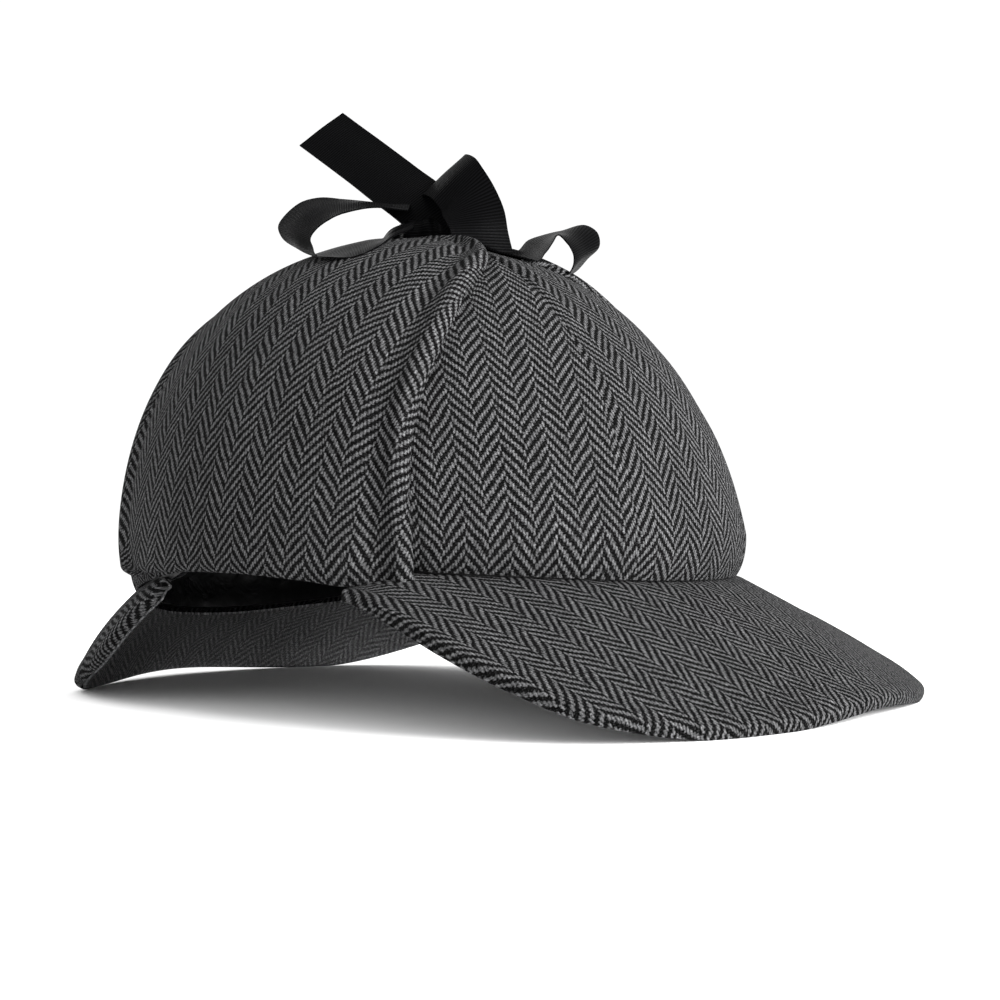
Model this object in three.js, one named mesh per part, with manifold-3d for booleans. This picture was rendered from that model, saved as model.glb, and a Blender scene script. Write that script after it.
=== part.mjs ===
// A deerstalker hat of herringbone tweed, resting on its two peaks, with its ear flaps folded up over the
// crown and tied there by a black ribbon. Millimetres. The front peak points to -Y, the wearer's right is -X.
import * as THREE from 'three';
import { ParametricGeometry } from 'three/addons/geometries/ParametricGeometry.js';
import { mergeGeometries, mergeVertices } from 'three/addons/utils/BufferGeometryUtils.js';
import Module from 'manifold-3d';

const wasm = await Module();
wasm.setup();

// The rim seam, where crown and peaks meet: half sizes of its oval, and its height at the sides.
const RIM_HALF_LENGTH = 104;
const RIM_HALF_WIDTH = 90.5;
const RIM_HEIGHT = 2.2;
const RIM_DIP_FRONT = 7.2;
const RIM_DIP_REAR = 12.3;

// The outside of the crown: a dome a little fuller than an ellipsoid, which leans back as it rises.
const CROWN_HALF_LENGTH = 107.5;
const CROWN_HALF_WIDTH = 92.9;
const CROWN_RISE = 114;
const CROWN_WIDEST = -6;
const CROWN_LEAN = 9;
const CROWN_FORWARD = 1.5;
const CROWN_FULLNESS = 2.19;
const CURL_TOP = 6;
const TIP_STOP = 88.6;

// Cloth, and the space left between pieces that touch.
const TWEED = 2;
const SATIN = 1;
const BAND_CLOTH = 1.2;
const PEAK_CLOTH = 1.6;
const FLAP_CLOTH = 2.2;
const RIBBON_CLOTH = 1;
const GAP = 0.3;
const FLAP_GAP = 0.5;

// Seams between the crown's gores, as angles from the front towards the wearer's left.
const GORE_SEAMS = [-17, 17, 65, 115, 163, 197, 245, 295, 343];
const GORE_COLUMNS = 5;
const CROWN_ROWS = 12;
const BAND_ROWS = 3;

// How the finished hat rests: it tips by this angle, so that both peaks' edges meet the surface.
const REST_TILT = 1;

// The edge of each peak, from its middle to its end: angle from the middle, distance from the hat's axis in
// plan, and height above or below the rim's sides.
const PEAKS = {
  front: {
    bulge: 1.2,
    edge: [
      { angle: 0, radius: 156.5, height: -39 },
      { angle: 18, radius: 156.5, height: -41.5 },
      { angle: 25, radius: 156, height: -41 },
      { angle: 36, radius: 151, height: -35.5 },
      { angle: 42, radius: 143, height: -28.5 },
      { angle: 48, radius: 133, height: -20.5 },
      { angle: 54, radius: 120, height: -13 },
      { angle: 61, radius: 106, height: -7 },
      { angle: 67, radius: 94, height: -5 },
    ],
  },
  rear: {
    bulge: 4.2,
    edge: [
      { angle: 0, radius: 134.5, height: -34.5 },
      { angle: 22, radius: 127.5, height: -37 },
      { angle: 32, radius: 123.5, height: -36.5 },
      { angle: 47, radius: 111, height: -29 },
      { angle: 54.5, radius: 105.5, height: -23 },
      { angle: 61, radius: 101, height: -16 },
      { angle: 66, radius: 97, height: -10 },
      { angle: 70, radius: 93.5, height: -5 },
    ],
  },
};

// An ear flap, up the crown from its bottom fold: angle up the crown, and half its width there.
const FLAP = [
  { rise: -2, half: 64.5 },
  { rise: 8, half: 64 },
  { rise: 17, half: 62 },
  { rise: 28, half: 60.5 },
  { rise: 44, half: 60 },
  { rise: 56, half: 57.5 },
  { rise: 66, half: 54 },
  { rise: 74, half: 50 },
  { rise: 80, half: 41 },
  { rise: 84.5, half: 28 },
  { rise: 87, half: 14 },
];
const FLAP_MIDDLE = 4;
const HEM_TUCK = 0.5;

// The flap's lower rear corner is rounded: the share of its half width that it loses, and up to which rise.
const CORNER_LOSS = 0.3;
const CORNER_RISE = 20;

// The flap's bottom fold, from its front end to its rear end: distance back from the middle, and height.
const HEM = [
  { back: -64, height: -3.4 },
  { back: -44, height: -3.2 },
  { back: -30, height: -0.8 },
  { back: -12, height: 1.5 },
  { back: 14, height: 3 },
  { back: 40, height: 2.8 },
  { back: 72, height: 2 },
];

const SHADES = {
  tweed: { color: 0x4a4a4a, roughness: 0.95, metalness: 0 },
  satin: { color: 0x0c0c0e, roughness: 0.4, metalness: 0 },
  ribbon: { color: 0x141416, roughness: 0.6, metalness: 0 },
};

// The ribbon is 20 mm wide and is told in a frame of its own, turned to face the hat's front right and set
// at the knot: across (to the hat's front left), back (away from that side) and up. Each row is a fold's
// middle, the way its width runs, and the width there, which is less where the knot gathers it.
const BOW_TURN = -49.3;
const BOW_PLACE = new THREE.Vector3(0, -5, 115);
const RIBBON = 20;
const GATHERED = 12;
const RIBBONS = {
  ribbon_loop_rear: [
    { mid: [-8, -2, 7.5], run: [1, 14, 6], width: 15 },
    { mid: [-20, -6, 7], run: [-0.5, 19, 7], width: RIBBON },
    { mid: [-30.5, -11, 4.5], run: [-1.5, 17.5, 9.5], width: RIBBON },
    { mid: [-36, -14, 3], run: [-4.5, 16, 11.5], width: RIBBON },
    { mid: [-41, -17, 0], run: [-7, 14.5, 12], width: RIBBON },
    { mid: [-45, -20, -5.5], run: [-11.5, 14.5, 8], width: RIBBON },
    { mid: [-44, -23, -9.5], run: [-11, 15, 7], width: RIBBON },
    { mid: [-41, -27, -13.5], run: [-8, 17, 7], width: RIBBON },
    { mid: [-35.5, -31, -16], run: [-5.5, 18.5, 5.5], width: RIBBON },
    { mid: [-24, -32, -15], run: [-2.5, 18.5, 7], width: RIBBON },
    { mid: [-18.5, -27, -12], run: [-1.5, 19.5, 5], width: RIBBON },
    { mid: [-14, -20, -6], run: [-0.5, 18.5, 7.5], width: 18 },
    { mid: [-7, -8, 0], run: [1, 14, 6], width: 14 },
  ],
  ribbon_loop_front: [
    { mid: [9, 2, 1], run: [1, 11, 4], width: GATHERED },
    { mid: [21, 4, -3], run: [0, 17, 6], width: RIBBON },
    { mid: [30, 6, -2], run: [-1, 18, 9], width: RIBBON },
    { mid: [38, 8, 0], run: [2, 18, 9], width: RIBBON },
    { mid: [45, 9, 1.5], run: [7, 17, 8], width: RIBBON },
    { mid: [49.5, 10, 0.5], run: [10, 14.5, 9], width: RIBBON },
    { mid: [51.5, 11, -3], run: [10.5, 14, 9], width: RIBBON },
    { mid: [50, 11, -8], run: [9, 16, 8], width: RIBBON },
    { mid: [44, 11, -12.5], run: [7, 17, 6], width: RIBBON },
    { mid: [34.5, 9, -12], run: [7, 18, 6], width: RIBBON },
    { mid: [20.5, 6, -8], run: [3, 17, 5], width: 17 },
    { mid: [9, 3, -4], run: [1, 11, 3.5], width: GATHERED },
  ],
  ribbon_loop_upright: [
    { mid: [15, -14, -5], run: [19, 6, 0], width: RIBBON },
    { mid: [13.5, -12, 0], run: [19.5, 1, -2], width: RIBBON },
    { mid: [11, -9, 7], run: [19, 4.5, 5], width: RIBBON },
    { mid: [7, -5, 14], run: [17, 2, 10], width: RIBBON },
    { mid: [3.5, 0, 19], run: [15, 0, 13.5], width: RIBBON },
    { mid: [4, 4, 18], run: [15, 0, 14], width: RIBBON },
    { mid: [5, 5.5, 13], run: [13, 4, 11.5], width: 18 },
    { mid: [4, 4, 7], run: [7, 5, 7], width: GATHERED },
  ],
  ribbon_tail: [
    { mid: [1, 6, 5], run: [7, 10, 8], width: 14 },
    { mid: [-1, 9, 9], run: [13, 6, 14], width: RIBBON },
    { mid: [-9, 12, 16], run: [15, 4.5, 12.5], width: RIBBON },
    { mid: [-24.5, 18, 30], run: [15, 3, 13], width: RIBBON },
    { mid: [-40, 25, 44], run: [14.5, 2.5, 13.5], width: RIBBON },
  ],
};
const KNOT = { across: 0, back: 1, up: 2.5, halfAcross: 9, halfBack: 8, halfUp: 6.5 };

const degrees = THREE.MathUtils.degToRad;
const { lerp, smoothstep } = THREE.MathUtils;

// A smooth function through a table's rows, which are mirrored about zero when they start there.
function through(rows, key, value) {
  const mirrored = rows[0][key] === 0 ? rows.slice(1).reverse().map((row) => [-row[key], row[value]]) : [];
  const points = [...mirrored, ...rows.map((row) => [row[key], row[value]])];
  const curve = new THREE.CubicInterpolant(
    points.map((point) => point[0]),
    points.map((point) => point[1]),
    1,
  );
  return (x) => curve.evaluate(x)[0];
}

// A point of an oval about the hat's axis, by its angle from the front.
function oval(angle, halfLength, halfWidth) {
  const radius = 1 / Math.hypot(Math.sin(angle) / halfWidth, Math.cos(angle) / halfLength);
  return new THREE.Vector3(radius * Math.sin(angle), -radius * Math.cos(angle), 0);
}

function rimPoint(angle) {
  const dip = Math.cos(angle) > 0 ? RIM_DIP_FRONT : RIM_DIP_REAR;
  const point = oval(angle, RIM_HALF_LENGTH, RIM_HALF_WIDTH);
  point.z = RIM_HEIGHT - dip * Math.cos(angle) ** 2;
  return point;
}

function domePoint(angle, rise) {
  const [out, up] = [Math.cos(rise), Math.sin(rise)].map((share) => share ** (2 / CROWN_FULLNESS));
  const point = oval(angle, CROWN_HALF_LENGTH, CROWN_HALF_WIDTH).multiplyScalar(out);
  point.y += CROWN_LEAN * up - CROWN_FORWARD;
  point.z = CROWN_WIDEST + CROWN_RISE * up;
  return point;
}

// How far up the dome its outside lies, as a share of its rise, at a distance back and at an outward share
// that may depend on the rise. Each pass halves the range that is left.
function domeShare(outward, y) {
  let [low, high] = [0, 1];
  for (let pass = 0; pass < 24; pass += 1) {
    const up = (low + high) / 2;
    const back = (y + CROWN_FORWARD - CROWN_LEAN * up) / CROWN_HALF_LENGTH;
    if (Math.hypot(outward(up), back) ** CROWN_FULLNESS + up ** CROWN_FULLNESS < 1) {
      low = up;
    } else {
      high = up;
    }
  }
  return low;
}

// The outside of the crown from its rim, at 0, to the gores' tips, at 1: it curls in to the rim seam below.
const CURL_SHARE = 2 / CROWN_ROWS;
function crownPoint(angle, share) {
  if (share >= CURL_SHARE) {
    const up = (share - CURL_SHARE) / (1 - CURL_SHARE);
    return domePoint(angle, degrees(lerp(CURL_TOP, TIP_STOP, up)));
  }
  const top = domePoint(angle, degrees(CURL_TOP));
  const rim = rimPoint(angle);
  const corner = new THREE.Vector3(top.x, top.y, lerp(rim.z, top.z, 0.35));
  return new THREE.QuadraticBezierCurve3(rim, corner, top).getPoint(share / CURL_SHARE);
}

// Height of the crown's outside over a place in plan.
function domeHeight(x, y) {
  return CROWN_WIDEST + CROWN_RISE * domeShare(() => x / CROWN_HALF_WIDTH, y);
}

// Triangles that a closed end has drawn to nothing are left out.
function closed(parts) {
  const whole = mergeGeometries(parts);
  whole.deleteAttribute('normal');
  whole.deleteAttribute('uv');
  const merged = mergeVertices(whole, 1e-4);
  const index = [];
  const corners = merged.index.array;
  for (let i = 0; i < corners.length; i += 3) {
    const [a, b, c] = corners.slice(i, i + 3);
    if (a !== b && b !== c && c !== a) {
      index.push(a, b, c);
    }
  }
  merged.setIndex(index);
  return merged;
}

// A wall between two levels of a surface, measured along its normal. A ring closes on itself across, and a
// dome is a ring that also closes at its top.
function wall(surface, columns, rows, low, high, form = 'sheet') {
  const step = 1e-3;
  const ring = form !== 'sheet';
  const point = (across, up, level, target) => {
    const u = Math.round(across * columns) / columns;
    const v = Math.round(up * rows) / rows;
    const [u0, u1] = ring ? [u - step, u + step] : [Math.max(u - step, 0), Math.min(u + step, 1)];
    const [v0, v1] = [Math.max(v - step, 0), Math.min(v + step, 1)];
    const normal = new THREE.Vector3(0, 0, 1);
    if (form !== 'dome' || v < 1) {
      const side = surface(u1, v).sub(surface(u0, v));
      const rise = surface(u, v1).sub(surface(u, v0));
      normal.crossVectors(side, rise).normalize();
    }
    target.copy(surface(ring && u === 1 ? 0 : u, v)).addScaledVector(normal, level);
  };
  const outside = new ParametricGeometry((u, v, target) => point(u, v, high, target), columns, rows);
  const inside = new ParametricGeometry((u, v, target) => point(u, v, low, target), columns, rows);
  inside.index.array.reverse();
  const parts = [outside, inside];
  const thickness = (w) => (w < 0.5 ? low : high);
  if (ring) {
    parts.push(new ParametricGeometry((u, w, target) => point(u, 0, thickness(w), target), columns, 1));
    if (form === 'ring') {
      parts.push(new ParametricGeometry((u, w, target) => point(1 - u, 1, thickness(w), target), columns, 1));
    }
    return closed(parts);
  }
  const around = 2 * (columns + rows);
  const border = (s, w, target) => {
    const at = Math.round(s * around) % around;
    const legs = [
      [at / columns, 0],
      [1, (at - columns) / rows],
      [1 - (at - columns - rows) / columns, 1],
      [0, 1 - (at - 2 * columns - rows) / rows],
    ];
    const leg = [columns, columns + rows, 2 * columns + rows, around].findIndex((end) => at < end);
    point(...legs[leg], thickness(w), target);
  };
  parts.push(new ParametricGeometry(border, around, 1));
  return closed(parts);
}

function solid(geometry) {
  const mesh = new wasm.Mesh({
    numProp: 3,
    vertProperties: Float32Array.from(geometry.attributes.position.array),
    triVerts: Uint32Array.from(geometry.index.array),
  });
  return new wasm.Manifold(mesh);
}

function geometryOf(manifold) {
  const mesh = manifold.getMesh();
  const geometry = new THREE.BufferGeometry();
  geometry.setAttribute('position', new THREE.BufferAttribute(mesh.vertProperties, 3));
  geometry.setIndex(new THREE.BufferAttribute(mesh.triVerts, 1));
  return geometry;
}

function cut(geometry, ...tools) {
  return geometryOf(tools.reduce((rest, tool) => rest.subtract(solid(tool)), solid(geometry)));
}

// One gore of the crown, between two seams, with half the gap left at each.
function gore(number) {
  const [from, to] = [GORE_SEAMS[number], GORE_SEAMS[number + 1]].map(degrees);
  const surface = (u, v) => {
    const { x, y } = crownPoint(from, v);
    const inset = GAP / 2 / Math.hypot(x, y + CROWN_FORWARD - CROWN_LEAN * v);
    return crownPoint(lerp(from + inset, to - inset, u), v);
  };
  return wall(surface, GORE_COLUMNS, CROWN_ROWS, -TWEED, 0);
}

// The angle at a share of the way round, on the lines that divide the gores, so that the layers nest.
const COLUMNS = (GORE_SEAMS.length - 1) * GORE_COLUMNS;
function around(share) {
  const at = (share * COLUMNS) / GORE_COLUMNS;
  const turns = Math.floor(at / (GORE_SEAMS.length - 1));
  const number = Math.floor(at) - turns * (GORE_SEAMS.length - 1);
  return degrees(turns * 360 + lerp(GORE_SEAMS[number], GORE_SEAMS[number + 1], at - Math.floor(at)));
}

function lining() {
  const high = -TWEED - GAP;
  const surface = (u, v) => (v < 1 ? crownPoint(around(u), v) : domePoint(0, Math.PI / 2));
  return wall(surface, COLUMNS, CROWN_ROWS, high - SATIN, high, 'dome');
}

function sweatband() {
  const high = -TWEED - GAP - SATIN - GAP;
  const surface = (u, v) => crownPoint(around(u), (v * BAND_ROWS) / CROWN_ROWS);
  return wall(surface, COLUMNS, BAND_ROWS, high - BAND_CLOTH, high, 'ring');
}

// The middle surface of a peak, between its two layers, from the rim to its edge.
const PEAK_START = 1;
const PEAK_SEAT = 1.9;
const TUCK = 5.2;
function peakSurface(which) {
  const { edge, bulge } = PEAKS[which];
  const end = edge.at(-1).angle;
  const radius = through(edge, 'angle', 'radius');
  const height = through(edge, 'angle', 'height');
  return (u, v) => {
    const angle = lerp(end, -end, u);
    const turn = which === 'front' ? degrees(angle) : degrees(180 + angle);
    const rim = rimPoint(turn);
    const inner = Math.hypot(rim.x, rim.y) - PEAK_START;
    const outer = Math.max(radius(angle), inner + 1.5);
    const tuck = TUCK * smoothstep(Math.abs(angle), 46, 56);
    const start = rim.z - PEAK_SEAT - tuck;
    const finish = Math.min(height(angle), start - 0.5);
    const share = Math.abs(angle) / end;
    const swell = bulge * 4 * v * (1 - v) * (1 - share ** 2) * 0.7;
    const distance = lerp(inner, outer, v) + swell;
    return new THREE.Vector3(
      distance * Math.sin(turn),
      -distance * Math.cos(turn),
      lerp(start, finish, v) + swell,
    );
  };
}

// Below the surface on which the hat rests: it trims the peaks' lowest edges flat.
const REST_HEIGHT = 39.6;
function underRest() {
  const slab = new THREE.BoxGeometry(400, 400, 20);
  slab.translate(0, 0, -REST_HEIGHT - 10);
  slab.rotateX(degrees(REST_TILT));
  slab.deleteAttribute('normal');
  slab.deleteAttribute('uv');
  return mergeVertices(slab);
}

function peak(which, layer) {
  const [low, high] = layer === 'top' ? [GAP / 2, GAP / 2 + PEAK_CLOTH] : [-GAP / 2 - PEAK_CLOTH, -GAP / 2];
  return cut(wall(peakSurface(which), 26, 4, low, high), underRest());
}

// An ear flap: each row runs along the crown, at an angle about the hat's front-to-back axis.
const FLAP_END = FLAP.at(-1).rise;
const TIP_EASE = 1.4;
function flap(side) {
  const half = through(FLAP, 'rise', 'half');
  const hem = through(HEM, 'back', 'height');
  const surface = (u, v) => {
    const rise = lerp(FLAP_END, FLAP[0].rise, (1 - v) ** TIP_EASE);
    const slope = Math.tan(degrees(Math.max(rise, CURL_TOP)));
    const corner = CORNER_LOSS * (1 - Math.min(rise / CORNER_RISE, 1)) ** 2;
    const across = lerp(-1, 1 - corner, side < 0 ? 1 - u : u);
    const y = FLAP_MIDDLE + across * half(rise);
    const up = domeShare((share) => share / slope, y);
    const hang = Math.max(CURL_TOP - rise, 0) / (CURL_TOP - FLAP[0].rise);
    return new THREE.Vector3(
      side * ((CROWN_HALF_WIDTH * up) / slope - HEM_TUCK * hang ** 2),
      y,
      lerp(CROWN_WIDEST + CROWN_RISE * up, hem(y), hang),
    );
  };
  return wall(surface, 12, 15, FLAP_GAP, FLAP_GAP + FLAP_CLOTH);
}

// From the bow's own frame to the hat's.
function inHat(across, back, up) {
  return new THREE.Vector3(across, back, up)
    .applyAxisAngle(new THREE.Vector3(0, 0, 1), degrees(BOW_TURN))
    .add(BOW_PLACE);
}

// The ribbon and its knot lie on the flaps and never sink into them.
const BOW_LIFT = FLAP_GAP + FLAP_CLOTH + GAP;
function liftClear(point, lift) {
  point.z = Math.max(point.z, domeHeight(point.x, point.y) + lift);
  return point;
}

function ribbon(rows) {
  const mids = new THREE.CatmullRomCurve3(rows.map((row) => new THREE.Vector3(...row.mid)), false, 'centripetal');
  const runs = new THREE.CatmullRomCurve3(
    rows.map((row) => new THREE.Vector3(...row.run).setLength(row.width / 2)),
    false,
    'centripetal',
  );
  const surface = (u, v) => {
    const { x, y, z } = mids.getPoint(v).addScaledVector(runs.getPoint(v), 2 * u - 1);
    return liftClear(inHat(x, y, z), BOW_LIFT + GAP + RIBBON_CLOTH / 2);
  };
  const steps = 2 * (rows.length - 1);
  return wall(surface, 3, steps, -RIBBON_CLOTH / 2, RIBBON_CLOTH / 2);
}

function knot(margin = 0) {
  const lump = new THREE.SphereGeometry(1, 14, 9);
  lump.rotateX(Math.PI / 2);
  lump.scale(KNOT.halfAcross + margin, KNOT.halfBack + margin, KNOT.halfUp + margin);
  lump.rotateZ(degrees(BOW_TURN));
  const place = inHat(KNOT.across, KNOT.back, KNOT.up);
  lump.translate(place.x, place.y, place.z);
  const places = lump.attributes.position;
  const point = new THREE.Vector3();
  for (let i = 0; i < places.count; i += 1) {
    liftClear(point.fromBufferAttribute(places, i), BOW_LIFT - margin);
    places.setXYZ(i, point.x, point.y, point.z);
  }
  return closed([lump]);
}

const hat = new THREE.Group();
function add(name, geometry, shade) {
  geometry.computeVertexNormals();
  const mesh = new THREE.Mesh(geometry, new THREE.MeshStandardMaterial(SHADES[shade]));
  mesh.name = name;
  hat.add(mesh);
}

const GORE_NAMES = [
  'front',
  'front_left',
  'side_left',
  'rear_left',
  'rear',
  'rear_right',
  'side_right',
  'front_right',
];
GORE_NAMES.forEach((place, number) => add(`crown_gore_${place}`, gore(number), 'tweed'));
add('lining', lining(), 'satin');
add('sweatband', sweatband(), 'satin');
for (const which of ['front', 'rear']) {
  add(`${which}_peak_top`, peak(which, 'top'), 'tweed');
  add(`${which}_peak_underside`, peak(which, 'underside'), 'tweed');
}
add('ear_flap_right', flap(-1), 'tweed');
add('ear_flap_left', flap(1), 'tweed');
add('ribbon_knot', knot(), 'ribbon');
for (const [name, rows] of Object.entries(RIBBONS)) {
  add(name, cut(ribbon(rows), knot(GAP)), 'ribbon');
}

// The hat tips on to both peaks, and its origin goes to the middle of the surface that it rests on.
hat.rotation.x = -degrees(REST_TILT);
hat.updateMatrixWorld(true);
const box = new THREE.Box3().setFromObject(hat, true);
hat.position.set(0, -(box.min.y + box.max.y) / 2, -box.min.z);

export default hat;
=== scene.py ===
# %% [markdown]
# # A deerstalker hat in herringbone tweed
# The hat stands on its two peaks with its ear flaps folded up over the crown, tied there by a black
# ribbon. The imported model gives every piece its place, so this script only has to make each one look like
# cloth: finer surfaces in the same places, folds and seams, and materials that draw the weave yarn by
# yarn.

# %% Load the frame
import math

import bmesh
import bpy
from mathutils import Euler, Matrix, Vector, noise


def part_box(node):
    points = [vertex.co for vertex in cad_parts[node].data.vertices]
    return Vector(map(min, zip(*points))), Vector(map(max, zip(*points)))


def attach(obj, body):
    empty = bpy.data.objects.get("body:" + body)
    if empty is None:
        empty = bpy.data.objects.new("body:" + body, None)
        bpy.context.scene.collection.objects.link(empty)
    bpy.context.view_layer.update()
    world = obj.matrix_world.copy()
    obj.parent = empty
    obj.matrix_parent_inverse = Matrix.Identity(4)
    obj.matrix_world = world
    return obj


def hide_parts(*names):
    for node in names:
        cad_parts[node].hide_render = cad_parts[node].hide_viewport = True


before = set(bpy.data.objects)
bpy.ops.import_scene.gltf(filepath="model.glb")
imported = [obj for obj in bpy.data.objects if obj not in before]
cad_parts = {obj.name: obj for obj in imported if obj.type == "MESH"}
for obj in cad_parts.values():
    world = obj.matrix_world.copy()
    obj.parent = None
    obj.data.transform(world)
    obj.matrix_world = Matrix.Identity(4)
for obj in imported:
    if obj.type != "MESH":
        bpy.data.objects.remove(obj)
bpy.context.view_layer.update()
print("nodes in the frame:", len(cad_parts))

# %% [markdown]
# ## Sizes
# All shaping is done in millimetres about the middle of the rim, with the hat level. A cloth pattern is
# easier to read that way. The finished hat tips by one degree so that both peaks touch the table, and
# that turn and the move to metres are made once, as each piece is finished.

# %% Sizes of the hat
MM = 0.001
REST_TILT = math.radians(1)
RIM_PLACE = Vector((0, 11.37, 39.6))

RIM_HALF_LENGTH = 104
RIM_HALF_WIDTH = 90.5
RIM_HEIGHT = 2.2
RIM_DIP_FRONT = 7.2
RIM_DIP_REAR = 12.3

CROWN_HALF_LENGTH = 107.5
CROWN_HALF_WIDTH = 92.9
CROWN_RISE = 114
CROWN_WIDEST = -6
CROWN_LEAN = 9
CROWN_FORWARD = 1.5
CROWN_FULLNESS = 2.19
CURL_TOP = 6
CURL_SHARE = 1 / 6
TIP_STOP = 89.6

TWEED = 2
SATIN = 1
GAP = 0.3

GORE_SEAMS = [-17, 17, 65, 115, 163, 197, 245, 295, 343]
GORE_PLACES = ["front", "front_left", "side_left", "rear_left"]
GORE_PLACES += ["rear", "rear_right", "side_right", "front_right"]


def in_row(point):
    """A point of the level hat, in millimetres, as it stands in the frame, in metres."""
    turned = Vector(point)
    turned.rotate(Euler((-REST_TILT, 0, 0)))
    return (turned + RIM_PLACE) * MM


print("the rim's middle stands", in_row((0, 0, 0)), "in the frame")

# %% [markdown]
# ## Curves through a few rows
# Each outline is a short table, and a smooth curve runs through its rows. A table that starts at zero is
# mirrored there, because the hat is alike on both sides. The ribbon's folds use the same kind of curve
# through points in space.


# %% Smooth curves
def ease(value, low, high):
    """Rises softly from 0 at low to 1 at high."""
    t = min(max((value - low) / (high - low), 0), 1)
    return t * t * (3 - 2 * t)


def through(rows, mirrored=True):
    """A smooth function through rows of (place, value)."""
    if mirrored and rows[0][0] == 0:
        rows = [(-place, value) for place, value in rows[:0:-1]] + rows
    slopes = []
    for i in range(len(rows)):
        before, after = rows[max(i - 1, 0)], rows[min(i + 1, len(rows) - 1)]
        slopes.append((after[1] - before[1]) / (after[0] - before[0]))

    def value(place):
        i = 0
        while i < len(rows) - 2 and place > rows[i + 1][0]:
            i += 1
        width = rows[i + 1][0] - rows[i][0]
        t = min(max((place - rows[i][0]) / width, 0), 1)
        ends = rows[i][1] * (1 + 2 * t) * (1 - t) ** 2 + rows[i + 1][1] * t * t * (3 - 2 * t)
        return ends + width * (slopes[i] * t * (1 - t) ** 2 - slopes[i + 1] * t * t * (1 - t))

    return value


def spline(points, t):
    """The point at t, from 0 to 1, of a centripetal curve through points in space."""
    points = [2 * points[0] - points[1]] + points + [2 * points[-1] - points[-2]]
    at = min(max(t, 0), 1) * (len(points) - 3)
    i = min(int(at), len(points) - 4)
    four = points[i : i + 4]
    knots = [0.0]
    for a, b in zip(four, four[1:]):
        knots.append(knots[-1] + max((b - a).length, 1e-6) ** 0.5)
    here = knots[1] + (knots[2] - knots[1]) * (at - i)
    for size in (1, 2):
        shares = [(here - knots[k]) / (knots[k + size] - knots[k]) for k in range(len(four) - 1)]
        four = [four[k].lerp(four[k + 1], share) for k, share in enumerate(shares)]
    return four[0].lerp(four[1], at - i)


def run_lengths(point_at, steps):
    """How far a curve point_at(t) has run at each of its steps."""
    lengths = [0.0]
    for i in range(steps):
        lengths.append(lengths[-1] + (point_at((i + 1) / steps) - point_at(i / steps)).length)
    return lengths


def read(lengths, t):
    """The length run at t, from 0 to 1."""
    at = min(max(t, 0), 1) * (len(lengths) - 1)
    i = min(int(at), len(lengths) - 2)
    return lengths[i] + (lengths[i + 1] - lengths[i]) * (at - i)


# %% [markdown]
# ## The form of the crown
# The crown is a dome a little fuller than an ellipsoid, leaning back as it rises, and it curls in to the
# rim seam at its foot. Seams, folds and lining all follow the same form at different depths.


# %% The crown's form
def oval(angle, half_length, half_width):
    """A point of an oval about the hat's axis, by its angle from the front towards the wearer's left."""
    radius = 1 / math.hypot(math.sin(angle) / half_width, math.cos(angle) / half_length)
    return Vector((radius * math.sin(angle), -radius * math.cos(angle), 0))


def rim_point(angle):
    dip = RIM_DIP_FRONT if math.cos(angle) > 0 else RIM_DIP_REAR
    point = oval(angle, RIM_HALF_LENGTH, RIM_HALF_WIDTH)
    point.z = RIM_HEIGHT - dip * math.cos(angle) ** 2
    return point


def dome_point(angle, rise):
    out, up = (share ** (2 / CROWN_FULLNESS) for share in (max(math.cos(rise), 0), math.sin(rise)))
    point = oval(angle, CROWN_HALF_LENGTH, CROWN_HALF_WIDTH) * out
    return point + Vector((0, CROWN_LEAN * up - CROWN_FORWARD, CROWN_WIDEST + CROWN_RISE * up))


def crown_point(angle, share):
    """The crown's outside, from its rim at 0 to its apex at 1."""
    if share >= CURL_SHARE:
        up = (share - CURL_SHARE) / (1 - CURL_SHARE)
        return dome_point(angle, math.radians(CURL_TOP + (TIP_STOP - CURL_TOP) * up))
    top = dome_point(angle, math.radians(CURL_TOP))
    rim = rim_point(angle)
    corner = Vector((top.x, top.y, rim.z + 0.35 * (top.z - rim.z)))
    t = share / CURL_SHARE
    return rim * (1 - t) ** 2 + corner * 2 * t * (1 - t) + top * t * t


def dome_share(outward, y):
    """How far up the dome its outside lies, as a share of its rise. Each pass halves the range left."""
    low, high = 0.0, 1.0
    for _ in range(24):
        up = (low + high) / 2
        back = (y + CROWN_FORWARD - CROWN_LEAN * up) / CROWN_HALF_LENGTH
        if math.hypot(outward(up), back) ** CROWN_FULLNESS + up**CROWN_FULLNESS < 1:
            low = up
        else:
            high = up
    return low


def dome_height(x, y):
    return CROWN_WIDEST + CROWN_RISE * dome_share(lambda up: x / CROWN_HALF_WIDTH, y)


print("the crown's apex is", round(dome_height(0, CROWN_LEAN - CROWN_FORWARD), 1), "mm above the rim")

# %% [markdown]
# ## One way to make every cloth piece
# Each piece starts as Blender's flat grid, like a piece of cloth on the table. A placing function lays
# each of its points on the hat, and a relief function then lifts or presses it along its normal for seams
# and folds. Extruding the whole sheet along its normals gives it its thickness. The grid's lines can
# crowd towards an edge, where a fold is tight. The cloth's own millimetres go into a UV map, so that the
# weave follows the cloth however it is bent.


# %% Laying out a cloth sheet
CROWDING = 0.75


def even(t):
    return t


def crowd_ends(t):
    return t - CROWDING * math.sin(math.tau * t) / math.tau


def crowd_last(t):
    return t + CROWDING * math.sin(math.pi * t) / math.pi


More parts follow.
